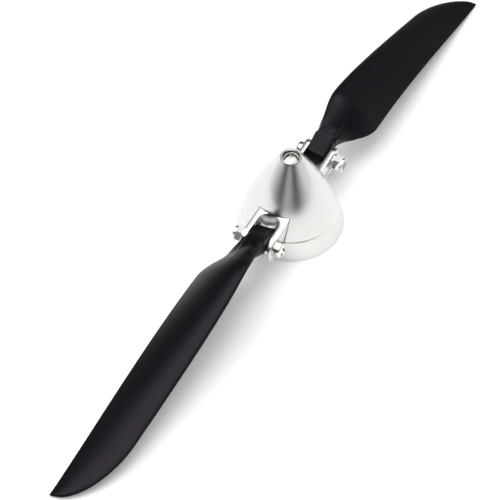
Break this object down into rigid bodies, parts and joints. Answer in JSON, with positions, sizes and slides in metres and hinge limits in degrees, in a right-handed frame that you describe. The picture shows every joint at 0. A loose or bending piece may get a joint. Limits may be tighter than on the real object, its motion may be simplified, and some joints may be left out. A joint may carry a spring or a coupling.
{
  "type": "folding propeller",
  "caption": "Folding propeller for an electric model aircraft: twisted black blades hinged on a forked yoke under a turned aluminium spinner, held on the motor shaft by a collet.",
  "frame": {"origin": "centre of the backplate's flat rear face, where the part rests on a table", "axes": "+Z is the spin axis towards the nose, +X is along blade 1, and blade 1's leading edge faces +Y"},
  "size_m": [0.2778, 0.0398, 0.035],
  "materials": {
    "turned_aluminium": "fine turned, satin",
    "milled_aluminium": "milled, bright",
    "collet_steel": "turned, plain",
    "plated_steel": "nickel plated, polished",
    "insert_nylon": "smooth nylon",
    "blade_nylon": "moulded, satin, fine grain"
  },
  "bodies": {
    "hub": {"spinner_cone": "turned_aluminium", "backplate": "turned_aluminium", "yoke": "milled_aluminium", "drive_collar": "milled_aluminium", "collet": "collet_steel", "hub_washer": "plated_steel", "hub_nut": "plated_steel", "nose_screw": "plated_steel", "pivot_screw_1": "plated_steel", "pivot_screw_2": "plated_steel", "pivot_nut_1": "plated_steel", "pivot_nut_2": "plated_steel", "nut_insert_1": "insert_nylon", "nut_insert_2": "insert_nylon", "head_washer_1": "plated_steel", "head_washer_2": "plated_steel", "nut_washer_1": "plated_steel", "nut_washer_2": "plated_steel"},
    "blade_one": {"blade_1": "blade_nylon"},
    "blade_two": {"blade_2": "blade_nylon"}
  },
  "joints": [
    {"name": "blade_1_fold", "type": "hinge", "parent": "hub", "child": "blade_one", "pos_m": [0.0232, 0, 0.0122], "axis": [0, 1, 0], "range_deg": [-80, 90]},
    {"name": "blade_2_fold", "type": "hinge", "parent": "hub", "child": "blade_two", "pos_m": [-0.0232, 0, 0.0122], "axis": [0, -1, 0], "range_deg": [-80, 90]}
  ]
}
